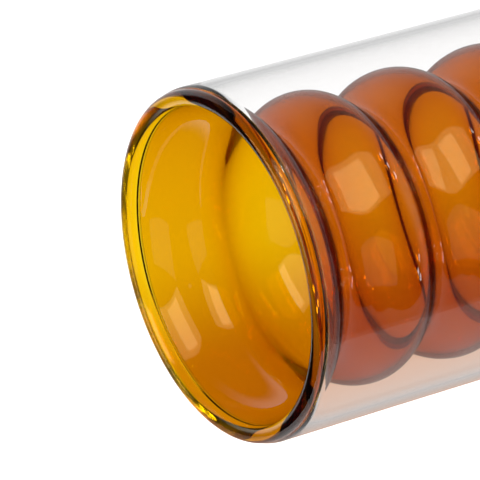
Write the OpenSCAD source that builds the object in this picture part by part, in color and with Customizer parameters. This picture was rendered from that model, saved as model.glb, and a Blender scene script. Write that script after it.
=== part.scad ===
// Double-walled glass vase: a clear straight sleeve around a rippled amber liner,
// the two walls fused together at a rounded amber rim.
// The vase stands upright on z = 0 with its axis on Z and its mouth at the top.

/* [Overall] */
// Outside diameter of the clear sleeve
outer_d = 100; // [98:0.5:104]
// Height from the table to the top of the rim
height = 240; // [238:1:260]

/* [Walls] */
// Wall thickness of the clear sleeve
sleeve_wall = 2.2; // [1.6:0.1:2.4]
// Wall thickness of the amber liner
liner_wall = 1.8; // [1.4:0.1:2]

/* [Ripples] */
// Number of round swellings below the neck
ripple_count = 7; // [5:1:7]
// Distance along the axis from one swelling to the next
ripple_pitch = 30; // [28:0.5:30]
// Outside diameter of the liner at a swelling
ripple_d = 84; // [80:0.5:88]
// Radius of the round section of a swelling
ripple_r = 12.5; // [12:0.1:13]
// Radius of the crease between two swellings
crease_r = 4.8; // [4:0.1:6]
// Depth of the first swelling's middle below the rim
first_ripple_depth = 36.3; // [35:0.1:37]

/* [Rim] */
// Thickness of the rounded rim, across both fused walls
rim_t = 4.6; // [4.4:0.1:4.8]
// Step in from the sleeve's outside to the widest part of the rim
rim_inset = 0.6; // [0.4:0.1:0.8]
// Radius of the collar's section, where it turns in towards the neck
collar_r = 10.5; // [10:0.1:11]
// Radius of the crease at the neck
neck_r = 7; // [6.5:0.1:8]
// Radius of the sleeve's shoulder where it turns into the rim
shoulder_r = 4; // [3.6:0.1:4.2]

/* [Base] */
// Radius of the rounded heel of the sleeve
heel_r = 7; // [6:0.5:8]
// Diameter of the shallow dish under the base
dish_d = 76; // [70:1:80]
// Rise of the dish above the table
push_up = 1.5; // [1.2:0.1:2]
// Diameter of the sealed pressure-relief hole in the base
vent_d = 6; // [4:0.5:8]
// Height of the rounded drop of glass that seals the hole
vent_drop = 1; // [0.6:0.1:1.1]

/* [Hidden] */
$fn = 144;
CLEAR = [0.93, 0.95, 0.95, 0.3];
AMBER = [0.85, 0.47, 0.03, 0.75];

// All sections are drawn as [distance from the axis, height above the rim],
// so that every height is negative, and are lifted to the table's frame last.
outer_r = outer_d / 2;
sleeve_in_r = outer_r - sleeve_wall;
floor_y = -height;
rim_r = rim_t / 2;
collar_in_r = outer_r - rim_inset - rim_t;
liner_r = collar_in_r + liner_wall;
rim_c = [collar_in_r + rim_r, -rim_r];
collar_c = [liner_r - collar_r, -rim_t];
function ripple_c(i) = [ripple_d / 2 - ripple_r, -first_ripple_depth - i * ripple_pitch];

// The point at distances ra and rb from points a and b, on the side away from the axis
function meet(a, ra, b, rb) =
    let(d = norm(b - a), u = (b - a) / d)
    let(t = (d * d + ra * ra - rb * rb) / (2 * d), h = sqrt(ra * ra - t * t))
    a + t * u + h * [-u.y, u.x];

neck_c = meet(collar_c, collar_r + neck_r, ripple_c(0), ripple_r + neck_r);
function crease_c(i) = meet(ripple_c(i), ripple_r + crease_r, ripple_c(i + 1), ripple_r + crease_r);
last_c = ripple_c(ripple_count - 1);

// The sleeve's heel ends at disc_r from the axis, and the base disc is welded in there
disc_r = outer_r - heel_r;
dish_r = dish_d / 2;
// Radius of a sphere whose cap is rise high over a circle of radius r
function cap_r(r, rise) = (r * r + rise * rise) / (2 * rise);

module lathe() {
    translate([0, 0, height]) rotate_extrude() children();
}

// A band of wall between radii r1 and r2 about the point c. It runs from the ray through p1
// round to the ray through p2, on the side of the point mid. Neighbouring bands aim these
// rays at each other's centres, so that they meet on one line.
module band(c, r1, r2, p1, p2, mid) {
    intersection() {
        translate(c) difference() {
            circle(r = r2);
            circle(r = r1);
        }
        polygon([c, p1, mid, p2]);
    }
}

// A swelling's wall is round about a centre inside it, a crease's about one outside it
module swelling(c, r, below, above) {
    band(c, r - liner_wall, r, below, above, c + [2 * r, 0]);
}
module crease(c, r, above, below) {
    band(c, r, r + liner_wall, above, below, c - [2 * r, 0]);
}

module liner_section() {
    reach = 2 * ripple_r;
    band(collar_c, collar_r - liner_wall, collar_r, neck_c, collar_c + [reach, 0], collar_c + [reach, -reach]);
    crease(neck_c, neck_r, collar_c, ripple_c(0));
    for (i = [0 : ripple_count - 1]) {
        above = i == 0 ? neck_c : crease_c(i - 1);
        below = i == ripple_count - 1 ? last_c - [0, reach] : crease_c(i);
        swelling(ripple_c(i), ripple_r, below, above);
        if (i < ripple_count - 1) crease(crease_c(i), crease_r, ripple_c(i), ripple_c(i + 1));
    }
    translate([0, last_c.y - ripple_r]) square([last_c.x, liner_wall]);
}

// Round at the top and outside, and flush with the liner's collar inside
module rim_section() {
    translate(rim_c) circle(r = rim_r);
    translate([collar_in_r, -rim_t]) square([rim_r, rim_r]);
}

module sleeve_section() {
    heel_c = [disc_r, floor_y + heel_r];
    reach = 2 * heel_r;
    band(heel_c, heel_r - sleeve_wall, heel_r, heel_c - [0, reach], heel_c + [reach, 0], heel_c + [reach, -reach]);
    translate([sleeve_in_r, heel_c.y]) square([sleeve_wall, -rim_t - heel_c.y]);
    intersection() {
        translate([outer_r - shoulder_r, -rim_t]) circle(r = shoulder_r);
        translate([sleeve_in_r, -rim_t]) square([sleeve_wall, rim_t]);
    }
}

// A slab with its middle pushed up into a shallow dome of the same thickness
module base_section() {
    bulge_r = cap_r(dish_r, push_up);
    // A circle this large needs finer facets for its small arc
    dome_fn = 3600;
    difference() {
        union() {
            translate([0, floor_y]) square([disc_r, sleeve_wall]);
            intersection() {
                translate([0, floor_y + sleeve_wall + push_up - bulge_r]) circle(r = bulge_r, $fn = dome_fn);
                translate([0, floor_y + sleeve_wall / 2]) square([disc_r, sleeve_wall + push_up]);
            }
        }
        translate([0, floor_y + push_up - bulge_r]) circle(r = bulge_r, $fn = dome_fn);
    }
}

// The amber liner, from the rim down to its closed bottom, which hangs clear of the base
module inner_liner() {
    color(AMBER) lathe() liner_section();
}

// The rolled amber rim that joins the two walls
module rim_bead() {
    color(AMBER) lathe() rim_section();
}

// The straight clear wall, with its shoulder at the rim and its rounded heel
module outer_sleeve() {
    color(CLEAR) lathe() difference() {
        sleeve_section();
        rim_section();
    }
}

// The clear disc that closes the sleeve, with the pressure-relief hole at its middle
module base_disc() {
    color(CLEAR) lathe() difference() {
        base_section();
        translate([0, floor_y]) square([vent_d / 2, heel_r]);
    }
}

// The melted plug that seals the hole, with a rounded drop underneath
module vent_seal() {
    plug_r = vent_d / 2;
    // The drop is a little wider than the hole, so that it stands proud of the dish
    drop_r = cap_r(1.1 * plug_r, vent_drop);
    color(CLEAR) lathe() {
        intersection() {
            base_section();
            translate([0, floor_y]) square([plug_r, heel_r]);
        }
        intersection() {
            translate([0, floor_y + push_up - vent_drop + drop_r]) circle(r = drop_r);
            translate([0, floor_y]) square([plug_r, push_up + sleeve_wall / 2]);
        }
    }
}

outer_sleeve();
base_disc();
inner_liner();
rim_bead();
vent_seal();
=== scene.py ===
"""Looks of the double-walled glass vase: blown glass pieces, studio and camera around the CAD frame."""

import math

import bmesh
import bpy
from mathutils import Matrix, Vector

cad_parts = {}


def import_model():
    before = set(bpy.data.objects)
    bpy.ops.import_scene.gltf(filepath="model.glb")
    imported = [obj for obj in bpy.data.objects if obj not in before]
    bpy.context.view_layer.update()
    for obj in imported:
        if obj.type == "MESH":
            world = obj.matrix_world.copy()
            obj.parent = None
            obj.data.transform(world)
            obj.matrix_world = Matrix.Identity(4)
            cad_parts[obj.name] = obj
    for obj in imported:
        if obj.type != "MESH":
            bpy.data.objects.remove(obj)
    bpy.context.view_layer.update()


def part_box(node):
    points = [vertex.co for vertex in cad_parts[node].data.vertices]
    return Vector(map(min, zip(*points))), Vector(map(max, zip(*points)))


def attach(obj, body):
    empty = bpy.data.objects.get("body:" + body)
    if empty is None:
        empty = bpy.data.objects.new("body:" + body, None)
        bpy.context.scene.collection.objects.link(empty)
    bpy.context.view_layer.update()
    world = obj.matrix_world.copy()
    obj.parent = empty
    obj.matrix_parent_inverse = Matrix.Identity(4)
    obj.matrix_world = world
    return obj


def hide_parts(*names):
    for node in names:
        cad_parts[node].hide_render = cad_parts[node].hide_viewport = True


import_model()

MM = 0.001

# Driving sizes, the same as in the CAD source
SLEEVE_WALL = 2.2 * MM
LINER_WALL = 1.8 * MM
RIM_T = 4.6 * MM
RIM_INSET = 0.6 * MM
COLLAR_R = 10.5 * MM
NECK_R = 7 * MM
RIPPLE_COUNT = 7
RIPPLE_PITCH = 30 * MM
RIPPLE_OUT_R = 42 * MM
RIPPLE_R = 12.5 * MM
CREASE_R = 4.8 * MM
FIRST_RIPPLE_DEPTH = 36.3 * MM
SHOULDER_R = 4 * MM
DISH_R = 38 * MM
PUSH_UP = 1.5 * MM
VENT_R = 3 * MM
VENT_DROP = 1 * MM

# Sizes that the frame gives, and those worked out from them
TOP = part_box("rim_bead")[1].z
OUTER_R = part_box("outer_sleeve")[1].x
DISC_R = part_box("base_disc")[1].x
HEEL_R = OUTER_R - DISC_R
RIM_R = RIM_T / 2
LINER_R = OUTER_R - RIM_INSET - RIM_T + LINER_WALL

# The liner's wall in the creases and the swellings, as a share of its wall at the neck
CREASE_SHARE = 0.9
RIPPLE_SHARE = 0.86
# The liner's section in even steps, and how often each step is averaged with its neighbours
EASE_STEP = 0.5 * MM
EASE_ROUNDS = 90

# Fused pieces reach this far into each other, so that no film of air is left between them
WELD = 0.05 * MM
# The finest step along a rounded section, in degrees, and the number of steps round the axis
ARC_STEP = 4
TURNS = 192


# ---------------------------------------------------------------- sections

def at(c, r, angle):
    """The point at distance r and angle, in degrees, from c."""
    a = math.radians(angle)
    return (c[0] + r * math.cos(a), c[1] + r * math.sin(a))


def arc(c, r, a1, a2, step=ARC_STEP):
    """Points along a circle about c, from angle a1 to a2, both ends included."""
    n = max(2, math.ceil(abs(a2 - a1) / step))
    return [at(c, r, a1 + (a2 - a1) * k / n) for k in range(n + 1)]


def line(a, b, step):
    """Points along a straight line, both ends included."""
    n = max(1, math.ceil(math.dist(a, b) / step))
    return [(a[0] + (b[0] - a[0]) * k / n, a[1] + (b[1] - a[1]) * k / n) for k in range(n + 1)]


def meet(a, ra, b, rb):
    """The point at distances ra and rb from a and b, on the side away from the axis."""
    d = math.dist(a, b)
    u = ((b[0] - a[0]) / d, (b[1] - a[1]) / d)
    t = (d * d + ra * ra - rb * rb) / (2 * d)
    h = math.sqrt(ra * ra - t * t)
    return (a[0] + t * u[0] - h * u[1], a[1] + t * u[1] + h * u[0])


def soften(path):
    """The path in even steps with its bends eased into each other, as glass flows. The ends stay."""
    lengths = [0]
    for a, b in zip(path, path[1:]):
        lengths.append(lengths[-1] + math.dist(a, b))
    n = round(lengths[-1] / EASE_STEP)
    even = []
    k = 0
    for i in range(n + 1):
        at_length = lengths[-1] * i / n
        while k < len(lengths) - 2 and lengths[k + 1] < at_length:
            k += 1
        t = (at_length - lengths[k]) / (lengths[k + 1] - lengths[k])
        even.append(tuple(path[k][j] + t * (path[k + 1][j] - path[k][j]) for j in (0, 1)))
    for _ in range(EASE_ROUNDS):
        threes = zip(even, even[1:], even[2:])
        eased = [tuple((a[j] + 2 * b[j] + c[j]) / 4 for j in (0, 1)) for a, b, c in threes]
        even = [even[0]] + eased + [even[-1]]
    return even


def heading(a, b):
    return math.degrees(math.atan2(b[1] - a[1], b[0] - a[0]))


RIM_C = (LINER_R - LINER_WALL + RIM_R, TOP - RIM_R)
COLLAR_C = (LINER_R - COLLAR_R, TOP - RIM_T)
RIPPLES = [
    (RIPPLE_OUT_R - RIPPLE_R, TOP - FIRST_RIPPLE_DEPTH - i * RIPPLE_PITCH) for i in range(RIPPLE_COUNT)
]
NECK_C = meet(COLLAR_C, COLLAR_R + NECK_R, RIPPLES[0], RIPPLE_R + NECK_R)
CREASES = [meet(a, RIPPLE_R + CREASE_R, b, RIPPLE_R + CREASE_R) for a, b in zip(RIPPLES, RIPPLES[1:])]


def liner_side(inset):
    """The liner's section from its collar down to its bottom, this far inside its outer face."""
    path = arc(COLLAR_C, COLLAR_R - inset, 0, heading(COLLAR_C, NECK_C))
    # The wall is blown thinner where it swells
    crease_inset = inset * CREASE_SHARE
    ripple_inset = inset * RIPPLE_SHARE
    hollows = [(NECK_C, NECK_R + inset)] + [(c, CREASE_R + crease_inset) for c in CREASES]
    above = COLLAR_C
    for (c, r), ripple in zip(hollows, RIPPLES):
        path += arc(c, r, heading(c, above), heading(c, ripple) + 360)[1:]
        below = -90 if ripple is RIPPLES[-1] else heading(ripple, CREASES[RIPPLES.index(ripple)])
        path += arc(ripple, RIPPLE_R - ripple_inset, heading(ripple, c), below)[1:]
        above = ripple
    bottom = RIPPLES[-1][1] - RIPPLE_R + inset
    return soften(path + [(RIPPLES[-1][0], bottom), (0, bottom)])


def liner_outline():
    outer = liner_side(0)
    inner = liner_side(LINER_WALL)
    z = COLLAR_C[1]
    tongue = [(inner[0][0] + WELD / 2, z + WELD), (outer[0][0] - WELD / 2, z + WELD)]
    return outer + inner[::-1] + tongue


def rim_outline():
    in_r = RIM_C[0] - RIM_R
    low = TOP - RIM_T
    return arc(RIM_C, RIM_R, 180, -90, 6) + [(LINER_R, low), (in_r, low)]


def sleeve_outline():
    in_r = OUTER_R - SLEEVE_WALL
    shoulder_c = (OUTER_R - SHOULDER_R, TOP - RIM_T)
    heel_c = (DISC_R, HEEL_R)
    fuse_r = RIM_R - WELD
    # Where the shoulder's circle crosses the rim's
    cross = meet(RIM_C, fuse_r, shoulder_c, SHOULDER_R)
    shoulder = arc(shoulder_c, SHOULDER_R, 0, heading(shoulder_c, cross), 5)
    inside = math.degrees(math.acos((in_r - RIM_C[0]) / fuse_r))
    seam = arc(RIM_C, fuse_r, heading(RIM_C, cross), -inside, 10)
    wall = line((in_r, seam[-1][1]), (in_r, heel_c[1]), 6 * MM)
    heel_in = arc(heel_c, HEEL_R - SLEEVE_WALL, 0, -90)
    butt = [(DISC_R - WELD, SLEEVE_WALL - WELD / 2), (DISC_R - WELD, WELD / 2)]
    heel_out = arc(heel_c, HEEL_R, -90, 0)
    side = line(heel_out[-1], shoulder[0], 6 * MM)
    return shoulder + seam[1:] + wall[1:] + heel_in[1:] + butt + heel_out + side[1:-1]


def cap(r, rise, z0, reach, n=12):
    """Points on a sphere's cap that is rise high over a circle of radius r, out to reach."""
    ball = (r * r + rise * rise) / (2 * rise)
    radii = [reach * k / n for k in range(n + 1)]
    return [(x, z0 + rise - ball + math.sqrt(ball * ball - x * x)) for x in radii]


def disc_outline():
    under = [p for p in cap(DISH_R, PUSH_UP, 0, DISH_R, 24) if p[0] > VENT_R + 0.5 * MM]
    over = [(x, z + SLEEVE_WALL) for x, z in under]
    dome = cap(DISH_R, PUSH_UP, 0, VENT_R, 1)[-1]
    hub = [(dome[0], dome[1] + SLEEVE_WALL), dome]
    foot = [(DISC_R, 0), (DISC_R, SLEEVE_WALL)]
    return hub + under + foot + over[::-1]


def seal_outline():
    under = cap(1.1 * VENT_R, -VENT_DROP, PUSH_UP, VENT_R, 8)
    top = [(x, z + SLEEVE_WALL) for x, z in cap(DISH_R, PUSH_UP, 0, VENT_R, 6)]
    # Between its rounded ends the plug reaches a little way into the disc
    edge = 0.1 * MM
    plug = [(VENT_R + WELD, PUSH_UP + edge), (VENT_R + WELD, PUSH_UP + SLEEVE_WALL - edge)]
    return under + plug + top[::-1]


# ------------------------------------------------------------------ meshes

def lathe(name, outline, turns=TURNS):
    """A closed solid of revolution about Z from a closed outline of (radius, height) points."""
    bm = bmesh.new()
    rings = []
    for r, z in outline:
        if r < 1e-7:
            rings.append([bm.verts.new((0, 0, z))] * turns)
            continue
        angles = [2 * math.pi * k / turns for k in range(turns)]
        rings.append([bm.verts.new((r * math.cos(a), r * math.sin(a), z)) for a in angles])
    for low, high in zip(rings, rings[1:] + rings[:1]):
        for k in range(turns):
            m = (k + 1) % turns
            corners = list(dict.fromkeys([low[k], low[m], high[m], high[k]]))
            if len(corners) > 2:
                bm.faces.new(corners)
    bmesh.ops.recalc_face_normals(bm, faces=bm.faces)
    mesh = bpy.data.meshes.new(name)
    bm.to_mesh(mesh)
    bm.free()
    mesh.shade_smooth()
    mesh.set_sharp_from_angle(angle=math.radians(35))
    piece = bpy.data.objects.new(name, mesh)
    bpy.context.scene.collection.objects.link(piece)
    return piece


def ease(value, start, end):
    """0 before start, 1 past end, smooth between them."""
    t = min(1, max(0, (value - start) / (end - start)))
    return t * t * (3 - 2 * t)


# Hand-made unevenness: (waves round the axis, waves per metre along it, phase, share)
WAVES = [
    (2, 3.1, 0.6, 0.40),
    (3, -5.3, 2.1, 0.25),
    (1, 11, 4.0, 0.20),
    (5, 8.7, 1.3, 0.10),
    (4, -17, 5.2, 0.12),
]
SLEEVE_WAVER = 0.05 * MM
LINER_WAVER = 0.30 * MM
LINER_LEAN = 0.6 * MM
# Depths below the rim where the liner's own waver begins and where it is full
LINER_CALM = 6 * MM
LINER_FREE = 34 * MM
# The waver grows from nothing over this height above the foot, and this distance from the axis
FOOT_CALM = 25 * MM
AXIS_CALM = 15 * MM


def waver(angle, z, turn=0.0):
    total = 0
    for n, k, phase, share in WAVES:
        total += share * math.cos(n * angle + 2 * math.pi * k * z + phase + turn)
    return total


def uneven(piece, is_liner=False):
    """Moves the wall as a glass blower's hand leaves it. At the rim and the foot all pieces move alike."""
    for vert in piece.data.vertices:
        x, y, z = vert.co
        r = math.hypot(x, y)
        angle = math.atan2(y, x)
        deep = ease(TOP - z, LINER_CALM, LINER_FREE) if is_liner else 0
        foot = ease(z, 0, FOOT_CALM)
        off_axis = ease(r, 0, AXIS_CALM)
        size = (SLEEVE_WAVER + (LINER_WAVER - SLEEVE_WAVER) * deep) * foot * off_axis
        out = size * waver(angle, z)
        x += out * math.cos(angle) - deep * LINER_LEAN
        y += out * math.sin(angle)
        z += deep * LINER_WAVER * waver(angle, z, 2.0) * off_axis
        vert.co = (x, y, z)
    piece.data.update()
    return piece


# --------------------------------------------------------------- materials

def principled(name):
    mat = bpy.data.materials.new(name)
    mat.use_nodes = True
    return mat, mat.node_tree, mat.node_tree.nodes["Principled BSDF"]


def clear_glass(name, tint, streaks=(70, 70, 9), relief=0.03 * MM, ior=1.3, roughness=0.0):
    """Smooth see-through glass whose surface has faint streaks left by the blowing."""
    mat, tree, glass = principled(name)
    glass.inputs["Base Color"].default_value = (*tint, 1)
    glass.inputs["Roughness"].default_value = roughness
    glass.inputs["IOR"].default_value = ior
    glass.inputs["Transmission Weight"].default_value = 1
    coords = tree.nodes.new("ShaderNodeTexCoord")
    mapping = tree.nodes.new("ShaderNodeMapping")
    mapping.inputs["Scale"].default_value = streaks
    tree.links.new(coords.outputs["Object"], mapping.inputs["Vector"])
    noise = tree.nodes.new("ShaderNodeTexNoise")
    noise.inputs["Scale"].default_value = 1
    noise.inputs["Detail"].default_value = 1.5
    tree.links.new(mapping.outputs["Vector"], noise.inputs["Vector"])
    bump = tree.nodes.new("ShaderNodeBump")
    bump.inputs["Strength"].default_value = 1
    bump.inputs["Distance"].default_value = relief
    tree.links.new(noise.outputs["Fac"], bump.inputs["Height"])
    tree.links.new(bump.outputs["Normal"], glass.inputs["Normal"])
    return mat


def amber_glass(name, soaks):
    """Glass coloured in the mass; soaks are the light it takes in per metre, red, green and blue."""
    mat = clear_glass(name, (1, 1, 1), (55, 55, 30), 0.05 * MM, 1.45)
    tree = mat.node_tree
    density = max(soaks)
    soak = tree.nodes.new("ShaderNodeVolumeAbsorption")
    soak.inputs["Color"].default_value = (*(1 - s / density for s in soaks), 1)
    soak.inputs["Density"].default_value = density
    tree.links.new(soak.outputs["Volume"], tree.nodes["Material Output"].inputs["Volume"])
    return mat


def dress(piece, node, mat):
    """The piece takes a node's place, rides with the body and wears the material."""
    piece.data.materials.clear()
    piece.data.materials.append(mat)
    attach(piece, "root")
    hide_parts(node)


clear = clear_glass("clear_glass", (1, 1, 1))
clear_foot = clear_glass("clear_glass_base", (0.985, 0.99, 0.985), (40, 40, 40), roughness=0.03)
amber = amber_glass("amber_glass", (160, 550, 4500))
amber_rim = amber_glass("amber_glass_rim", (22, 140, 1300))
dress(uneven(lathe("clear_sleeve", sleeve_outline())), "outer_sleeve", clear)
dress(uneven(lathe("clear_base", disc_outline())), "base_disc", clear_foot)
dress(uneven(lathe("amber_liner", liner_outline()), True), "inner_liner", amber)
dress(uneven(lathe("amber_rim", rim_outline())), "rim_bead", amber_rim)
dress(lathe("base_seal", seal_outline(), 48), "vent_seal", clear_foot)


# ------------------------------------------------------------------ studio

def sheet(name, corners):
    """A flat four-cornered face."""
    mesh = bpy.data.meshes.new(name)
    mesh.from_pydata(corners, [], [(0, 1, 2, 3)])
    face = bpy.data.objects.new(name, mesh)
    bpy.context.scene.collection.objects.link(face)
    return face


def floor():
    side = 3
    ground = sheet("floor", [(-side, -side, 0), (side, -side, 0), (side, side, 0), (-side, side, 0)])
    mat, tree, paint = principled("floor")
    paint.inputs["Base Color"].default_value = (0.9, 0.9, 0.9, 1)
    paint.inputs["Roughness"].default_value = 0.9
    paint.inputs["Emission Color"].default_value = (1, 1, 1, 1)
    paint.inputs["Emission Strength"].default_value = 0.85
    ground.data.materials.append(mat)
    ground.visible_glossy = False
    ground.visible_transmission = False


def link_math(tree, operation, a, b=0.0, clamp=False):
    """A Math node; a and b are sockets or numbers."""
    node = tree.nodes.new("ShaderNodeMath")
    node.operation = operation
    node.use_clamp = clamp
    for socket, value in zip(node.inputs, (a, b)):
        if isinstance(value, (int, float)):
            socket.default_value = value
        else:
            tree.links.new(value, socket)
    return node.outputs[0]


def toward(azimuth, elevation):
    """The direction at these angles in degrees; azimuth 0 is the camera's side, -Y."""
    a = math.radians(azimuth)
    e = math.radians(elevation)
    return Vector((math.sin(a) * math.cos(e), -math.cos(a) * math.cos(e), math.sin(e)))


def inside(tree, across, ahead, half, soft):
    """1 where across / ahead is between -half and half, falling to 0 over soft."""
    slope = link_math(tree, "ABSOLUTE", link_math(tree, "DIVIDE", across, ahead))
    ramp = tree.nodes.new("ShaderNodeMapRange")
    ramp.interpolation_type = "SMOOTHSTEP"
    ramp.inputs["From Min"].default_value = half + soft
    ramp.inputs["From Max"].default_value = half
    tree.links.new(slope, ramp.inputs["Value"])
    return ramp.outputs[0]


def pane(tree, azimuth, elevation, half_width, half_height, radiance, soft=0.04):
    """A far-off flat softbox seen from the vase; its half sizes are slopes from its middle."""
    ahead = facing(tree, toward(azimuth, elevation))
    right = facing(tree, toward(azimuth + 90, 0))
    up = facing(tree, toward(azimuth, elevation + 90))
    front = link_math(tree, "GREATER_THAN", ahead, 0)
    wide = inside(tree, right, ahead, half_width, soft)
    high = inside(tree, up, ahead, half_height, soft)
    shape = link_math(tree, "MULTIPLY", link_math(tree, "MULTIPLY", wide, high), front)
    return link_math(tree, "MULTIPLY", shape, radiance)


def facing(tree, direction):
    """The cosine of the angle between the view direction and this direction."""
    coords = tree.nodes.new("ShaderNodeTexCoord")
    dot = tree.nodes.new("ShaderNodeVectorMath")
    dot.operation = "DOT_PRODUCT"
    tree.links.new(coords.outputs["Generated"], dot.inputs[0])
    dot.inputs[1].default_value = Vector(direction).normalized()
    return dot.outputs["Value"]


def lamp(tree, azimuth, elevation):
    """A far-off small round lamp with a soft edge."""
    disc = rise(tree, facing(tree, toward(azimuth, elevation)), LAMP_EDGE, LAMP_CORE)
    return link_math(tree, "MULTIPLY", disc, LAMP_RADIANCE)


def rise(tree, value, start, end):
    """0 where value is below start, 1 above end, smooth between them."""
    ramp = tree.nodes.new("ShaderNodeMapRange")
    ramp.interpolation_type = "SMOOTHSTEP"
    ramp.inputs["From Min"].default_value = start
    ramp.inputs["From Max"].default_value = end
    tree.links.new(value, ramp.inputs["Value"])
    return ramp.outputs[0]


# The photographed vase lies on a white table: the way down to it, and the way across it to its back
TABLE_SIDE = Vector((-0.864, 0.503, 0))
BACK_SIDE = Vector((0.421, 0.723, -0.547))
# How bright the table and the light behind it are as reflections inside the glass
TABLE_SHEEN = 0.4
BACK_SHEEN = 0.6
# The table in full light, against the 1 of the background
TABLE_GLOW = 1.15
# How far the table reaches in front of the vase's axis, behind it, past the mouth and past the foot
TABLE_FRONT = 0.11
TABLE_BACK = 1.5
TABLE_AHEAD = 0.01
TABLE_BELOW = 1
# The room between the table and the vase
TABLE_GAP = 1 * MM
# Across the table from the vase's axis, where the painted amber shade begins, is deepest and ends; no
# light casts it
SHADE_START = -0.035
SHADE_FULL = (-0.01, 0.03)
SHADE_END = 0.11
# The colour of the painted shade, which stands in for the vase's amber shadow on the table
SHADE_COLOR = (0.76, 0.465, 0.325)


def brightness(tree, dimmed):
    """1 for light through the glass or off its nearest face, dimmed for what is mirrored inside it."""
    path = tree.nodes.new("ShaderNodeLightPath")
    through = link_math(tree, "LESS_THAN", path.outputs["Glossy Depth"], 0.5)
    off_face = link_math(tree, "LESS_THAN", path.outputs["Transmission Depth"], 0.5)
    return link_math(tree, "MAXIMUM", link_math(tree, "MAXIMUM", through, off_face), dimmed)


def table():
    """The table's white sheet, which only the glass sees. It glows in place of a lit table, with a painted
    amber shade along it that stands in for the vase's shadow; no light casts it.
    """
    across = TABLE_SIDE.cross((0, 0, 1)).normalized()
    middle = TABLE_SIDE.normalized() * (OUTER_R + TABLE_GAP)
    low = -TABLE_BELOW
    high = TOP + TABLE_AHEAD
    corners = [(-TABLE_FRONT, low), (TABLE_BACK, low), (TABLE_BACK, high), (-TABLE_FRONT, high)]
    top = sheet("table", [middle + across * s + Vector((0, 0, z)) for s, z in corners])
    mat = bpy.data.materials.new("table")
    mat.use_nodes = True
    tree = mat.node_tree
    tree.nodes.remove(tree.nodes["Principled BSDF"])
    glow = tree.nodes.new("ShaderNodeEmission")
    tree.links.new(glow.outputs[0], tree.nodes["Material Output"].inputs["Surface"])
    coords = tree.nodes.new("ShaderNodeTexCoord")
    along = tree.nodes.new("ShaderNodeVectorMath")
    along.operation = "DOT_PRODUCT"
    tree.links.new(coords.outputs["Object"], along.inputs[0])
    along.inputs[1].default_value = across
    # Painted shade: the sheet's glow is white, with the amber shade colour mixed in across a band beside
    # the vase
    tint = tree.nodes.new("ShaderNodeMix")
    tint.data_type = "RGBA"
    tint.inputs["A"].default_value = (*SHADE_COLOR, 1)
    tint.inputs["B"].default_value = (TABLE_GLOW, TABLE_GLOW, TABLE_GLOW, 1)
    # 1 outside the painted shade's band, in front of it and behind it
    clear_of_painted_shade_front = rise(tree, along.outputs["Value"], SHADE_FULL[0], SHADE_START)
    clear_of_painted_shade_back = rise(tree, along.outputs["Value"], SHADE_FULL[1], SHADE_END)
    tree.links.new(link_math(tree, "MAXIMUM", clear_of_painted_shade_front, clear_of_painted_shade_back), tint.inputs["Factor"])
    tree.links.new(tint.outputs["Result"], glow.inputs["Color"])
    tree.links.new(brightness(tree, TABLE_SHEEN), glow.inputs["Strength"])
    top.data.materials.append(mat)
    top.visible_camera = False
    top.visible_diffuse = False
    top.visible_shadow = False


# The room's windows: azimuth, elevation, half width, half height and radiance
WINDOWS = [
    (35, 20, 0.344, 0.84, 1.8),
    (34, 28, 0.28, 0.28, 4.5),
    (-30, 38, 0.28, 0.45, 0.5),
    (150, 76, 0.17, 0.4, 2.6),
]
WINDOW_COLOR = (1, 0.9, 0.45)
# Azimuth and elevation of the small bright lamps that make the sparkles
LAMPS = [(45, -45), (52, -38), (38, -52), (-45, -43), (-53, -48), (-38, -52)]
# The cosines of the angles from a lamp's middle to its edge and to its full brightness
LAMP_EDGE = 0.9992
LAMP_CORE = 0.9997
LAMP_RADIANCE = 300
# The light from the back comes in over these ranges of the cosine of the angle to the table's side,
# to the back, and to the way ahead of the mouth, where it ends
SIDE_RANGE = (-1, -0.3)
BACK_RANGE = (-0.15, 0.3)
AHEAD_RANGE = (0.3, 0.5)
# What is left of the light in the dark parts of the room
ROOM_LIGHT = 0.02


def brightest(tree, parts, least=0.0):
    """The brightest of the parts at each direction."""
    light = least
    for part in parts:
        light = link_math(tree, "MAXIMUM", part, light)
    return light


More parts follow.
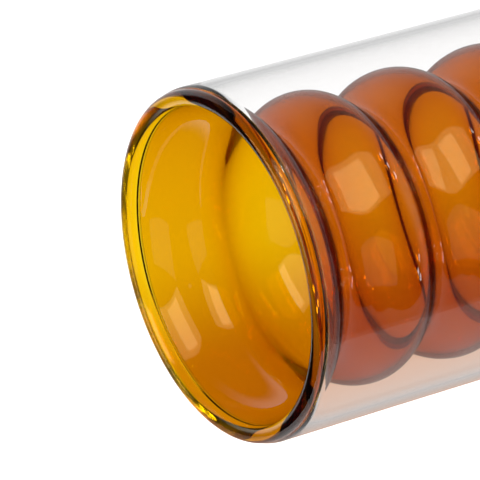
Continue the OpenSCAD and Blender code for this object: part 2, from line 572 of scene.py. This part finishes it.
def world():
    """Light from the back, and a dark room with a few windows and small bright lamps."""
    w = bpy.data.worlds.new("studio")
    w.use_nodes = True
    bpy.context.scene.world = w
    tree = w.node_tree
    shade = tree.nodes["Background"]
    path = tree.nodes.new("ShaderNodeLightPath")
    by_table = rise(tree, facing(tree, TABLE_SIDE), *SIDE_RANGE)
    by_back = rise(tree, facing(tree, BACK_SIDE), *BACK_RANGE)
    not_ahead = link_math(tree, "SUBTRACT", 1, rise(tree, facing(tree, (0, 0, 1)), *AHEAD_RANGE))
    back = link_math(tree, "MULTIPLY", link_math(tree, "MULTIPLY", by_table, by_back), not_ahead)
    back = link_math(tree, "MULTIPLY", back, brightness(tree, BACK_SHEEN))
    windows = brightest(tree, [pane(tree, *window) for window in WINDOWS])
    lamps = [lamp(tree, azimuth, elevation) for azimuth, elevation in LAMPS]
    parts = [windows, back, path.outputs["Is Camera Ray"]] + lamps
    tree.links.new(brightest(tree, parts, ROOM_LIGHT), shade.inputs["Strength"])
    # A window has its colour where it is mirrored, and is white where it is seen through the glass
    tint = tree.nodes.new("ShaderNodeMix")
    tint.data_type = "RGBA"
    tint.inputs["A"].default_value = (1, 1, 1, 1)
    tint.inputs["B"].default_value = (*WINDOW_COLOR, 1)
    mirrored = link_math(tree, "MINIMUM", windows, path.outputs["Glossy Depth"])
    tree.links.new(mirrored, tint.inputs["Factor"])
    tree.links.new(tint.outputs["Result"], shade.inputs["Color"])


# How the photograph was taken: the angle above the horizon, the roll about the view, the distance
# from the middle of the mouth, and how far right of and above the mouth's middle the view aims
ELEVATION = math.radians(29.47)
ROLL = math.radians(-106.0)
DISTANCE = 1253.8 * MM
AIM_RIGHT = 6.87 * MM
AIM_UP = 7.82 * MM
LENS = 347.5


def camera():
    mouth = Vector((0, 0, TOP))
    right = Vector((1, 0, 0))
    up = Vector((0, math.sin(ELEVATION), math.cos(ELEVATION)))
    image_right = math.cos(ROLL) * right + math.sin(ROLL) * up
    image_up = -math.sin(ROLL) * right + math.cos(ROLL) * up
    place = mouth + DISTANCE * Vector((0, -math.cos(ELEVATION), math.sin(ELEVATION)))
    forward = mouth + AIM_RIGHT * image_right + AIM_UP * image_up - place
    forward.normalize()
    image_right = (image_right - image_right.dot(forward) * forward).normalized()
    image_up = image_right.cross(forward)
    data = bpy.data.cameras.new("camera")
    data.lens = LENS
    data.sensor_width = 36
    data.clip_start = 0.05
    cam = bpy.data.objects.new("camera", data)
    bpy.context.scene.collection.objects.link(cam)
    turn = Matrix((image_right, image_up, -forward)).transposed()
    cam.matrix_world = Matrix.Translation(place) @ turn.to_4x4()
    bpy.context.scene.camera = cam


floor()
table()
world()
camera()

scene = bpy.context.scene
scene.view_settings.view_transform = "Standard"
scene.cycles.max_bounces = 96
scene.cycles.transmission_bounces = 96
scene.cycles.glossy_bounces = 96
scene.cycles.transparent_max_bounces = 32
scene.cycles.use_denoising = True
